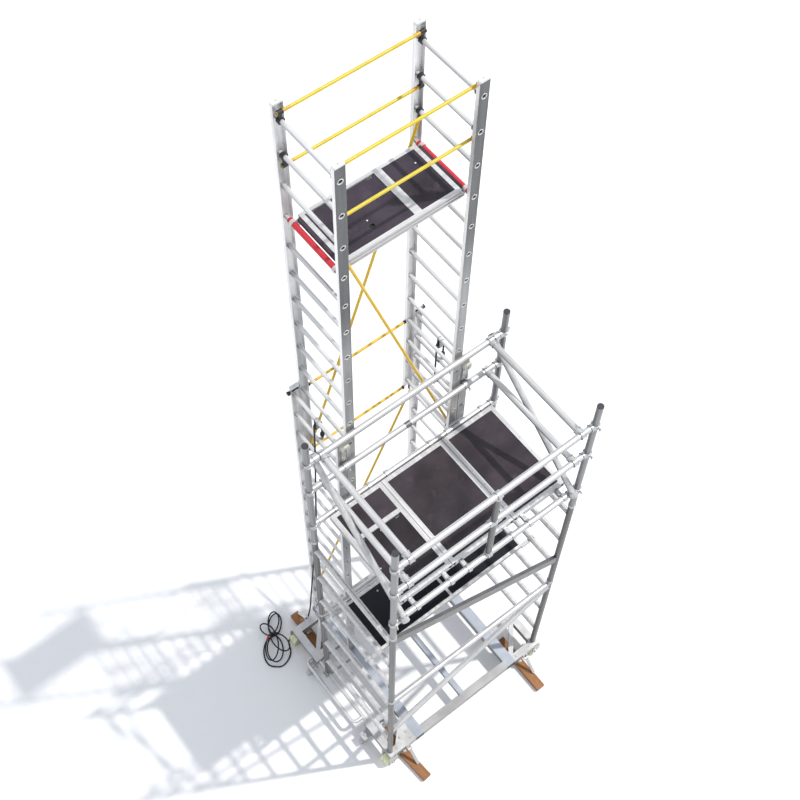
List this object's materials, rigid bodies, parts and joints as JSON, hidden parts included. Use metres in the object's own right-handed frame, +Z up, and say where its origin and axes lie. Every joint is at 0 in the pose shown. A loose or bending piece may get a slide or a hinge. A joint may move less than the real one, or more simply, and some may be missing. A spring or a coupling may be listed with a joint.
{
  "type": "catenary repair scaffold",
  "caption": "Rail trolley scaffold with a tubular work tower, guard rails and decks, and a sliding ladder tower with its own top platform behind it.",
  "frame": {"origin": "on the floor under the middle of the object's box, ropes left out", "axes": "+Z up, +X along the track, +Y across it towards the ladder tower"},
  "size_m": [2.2119, 2.1926, 7.228],
  "materials": {
    "aluminium": "mill-finish extruded tube and section",
    "zinc_steel": "zinc plated",
    "wheel_nylon": "cast nylon, pale yellow-green",
    "caster_tread": "light grey rubber",
    "timber": "oiled softwood",
    "film_plywood": "dark film-faced plywood",
    "yellow_paint": "powder coat",
    "red_sleeve": "moulded sleeve",
    "cap_plastic": "moulded cap",
    "clamp_plastic": "moulded block",
    "rope": "laid black rope",
    "black_plastic": "moulded, fine texture"
  },
  "bodies": {
    "trolley": {"axle_bolts": "zinc_steel", "base_frame": "aluminium", "brace_brackets": "black_plastic", "caster_brackets": "zinc_steel", "corner_frames": "aluminium", "coupler_bolts": "zinc_steel", "deck_hooks": "aluminium", "deck_panels": "film_plywood", "fixed_brace": "yellow_paint", "fixed_ladder_caps": "cap_plastic", "fixed_ladder_rungs": "aluminium", "fixed_ladder_stiles": "aluminium", "front_guard_rails": "aluminium", "guard_posts": "aluminium", "hoist_rope_coil": "rope", "hoist_rope_runs": "rope", "hold_down_brackets": "zinc_steel", "landing_deck_frame": "aluminium", "left_end_frame": "aluminium", "left_guard_rails": "aluminium", "post_collars": "aluminium", "post_plugs": "black_plastic", "pulley_brackets": "black_plastic", "push_bar": "aluminium", "rear_guard_rails": "aluminium", "right_end_frame": "aluminium", "right_guard_rails": "aluminium", "timber_blocks": "timber", "tower_braces": "aluminium", "tower_clamps": "clamp_plastic", "tube_couplers": "zinc_steel", "wheel_brackets": "zinc_steel", "working_deck_frames": "aluminium"},
    "upper_tower": {"upper_ladder_stiles": "aluminium", "upper_ladder_rungs": "aluminium", "upper_ladder_caps": "cap_plastic", "red_sleeves": "red_sleeve", "platform_frame": "aluminium", "platform_panel": "film_plywood", "platform_guard_rails": "yellow_paint", "ladder_braces": "yellow_paint", "brace_claws": "black_plastic"},
    "caster_fork_front": {"caster_fork_front": "zinc_steel"},
    "caster_fork_rear": {"caster_fork_rear": "zinc_steel"},
    "caster_wheel_front": {"caster_wheel_front": "caster_tread"},
    "caster_wheel_rear": {"caster_wheel_rear": "caster_tread"},
    "hold_down_lever_front_left": {"hold_down_lever_front_left": "zinc_steel"},
    "hold_down_lever_front_right": {"hold_down_lever_front_right": "zinc_steel"},
    "hold_down_lever_rear_left": {"hold_down_lever_rear_left": "zinc_steel"},
    "hold_down_lever_rear_right": {"hold_down_lever_rear_right": "zinc_steel"},
    "lock_knob_left": {"lock_knob_left": "black_plastic"},
    "lock_knob_right": {"lock_knob_right": "black_plastic"},
    "pulley_left": {"pulley_left": "black_plastic"},
    "pulley_right": {"pulley_right": "black_plastic"},
    "rail_wheel_front_left": {"rail_wheel_front_left": "wheel_nylon"},
    "rail_wheel_front_right": {"rail_wheel_front_right": "wheel_nylon"},
    "rail_wheel_rear_left": {"rail_wheel_rear_left": "wheel_nylon"},
    "rail_wheel_rear_right": {"rail_wheel_rear_right": "wheel_nylon"},
    "platform_hatch": {"platform_hatch": "film_plywood"},
    "working_hatch": {"working_hatch": "film_plywood"}
  },
  "joints": [
    {"name": "tower_slide", "type": "slide", "parent": "trolley", "child": "upper_tower", "axis": [0, 0, 1], "range_m": [-2.8, 0]},
    {"name": "platform_hatch_hinge", "type": "hinge", "parent": "upper_tower", "child": "platform_hatch", "pos_m": [-0.154, 0.79975, 6.292], "axis": [-1, 0, 0], "range_deg": [0, 90]},
    {"name": "working_hatch_hinge", "type": "hinge", "parent": "trolley", "child": "working_hatch", "pos_m": [-0.47, -0.03025, 3.552], "axis": [-1, 0, 0], "range_deg": [0, 95]},
    {"name": "rail_wheel_front_left_spin", "type": "hinge", "parent": "trolley", "child": "rail_wheel_front_left", "pos_m": [-0.845, -0.67125, 0.08], "axis": [0, 1, 0], "continuous": true},
    {"name": "rail_wheel_front_right_spin", "type": "hinge", "parent": "trolley", "child": "rail_wheel_front_right", "pos_m": [0.905, -0.67125, 0.08], "axis": [0, 1, 0], "continuous": true},
    {"name": "rail_wheel_rear_left_spin", "type": "hinge", "parent": "trolley", "child": "rail_wheel_rear_left", "pos_m": [-0.845, 0.78975, 0.08], "axis": [0, 1, 0], "continuous": true},
    {"name": "rail_wheel_rear_right_spin", "type": "hinge", "parent": "trolley", "child": "rail_wheel_rear_right", "pos_m": [0.905, 0.78975, 0.08], "axis": [0, 1, 0], "continuous": true},
    {"name": "hold_down_front_left_hinge", "type": "hinge", "parent": "trolley", "child": "hold_down_lever_front_left", "pos_m": [-0.671, -0.74725, 0.208], "axis": [-1, 0, 0], "range_deg": [0, 75]},
    {"name": "hold_down_front_right_hinge", "type": "hinge", "parent": "trolley", "child": "hold_down_lever_front_right", "pos_m": [0.748, -0.74725, 0.208], "axis": [-1, 0, 0], "range_deg": [0, 75]},
    {"name": "hold_down_rear_left_hinge", "type": "hinge", "parent": "trolley", "child": "hold_down_lever_rear_left", "pos_m": [-0.684, 0.86575, 0.208], "axis": [1, 0, 0], "range_deg": [0, 75]},
    {"name": "hold_down_rear_right_hinge", "type": "hinge", "parent": "trolley", "child": "hold_down_lever_rear_right", "pos_m": [0.812, 0.86575, 0.208], "axis": [1, 0, 0], "range_deg": [0, 75]},
    {"name": "caster_front_swivel", "type": "hinge", "parent": "trolley", "child": "caster_fork_front", "pos_m": [-0.911, -0.38525, 0.14], "axis": [0, 0, 1], "continuous": true},
    {"name": "caster_front_spin", "type": "hinge", "parent": "caster_fork_front", "child": "caster_wheel_front", "pos_m": [-0.935, -0.38525, 0.053], "axis": [0, 1, 0], "continuous": true},
    {"name": "caster_rear_swivel", "type": "hinge", "parent": "trolley", "child": "caster_fork_rear", "pos_m": [-0.911, 0.44575, 0.14], "axis": [0, 0, 1], "continuous": true},
    {"name": "caster_rear_spin", "type": "hinge", "parent": "caster_fork_rear", "child": "caster_wheel_rear", "pos_m": [-0.935, 0.44575, 0.053], "axis": [0, 1, 0], "continuous": true},
    {"name": "lock_knob_left_turn", "type": "hinge", "parent": "trolley", "child": "lock_knob_left", "pos_m": [-0.57, 0.88275, 4.368], "axis": [-1, 0, 0], "range_deg": [0, 720]},
    {"name": "pulley_left_spin", "type": "hinge", "parent": "trolley", "child": "pulley_left", "pos_m": [-0.525, 0.61375, 4.241], "axis": [0, 1, 0], "continuous": true},
    {"name": "lock_knob_right_turn", "type": "hinge", "parent": "trolley", "child": "lock_knob_right", "pos_m": [0.63, 0.88275, 4.368], "axis": [1, 0, 0], "range_deg": [0, 720]},
    {"name": "pulley_right_spin", "type": "hinge", "parent": "trolley", "child": "pulley_right", "pos_m": [0.585, 0.61375, 4.241], "axis": [0, 1, 0], "continuous": true}
  ]
}
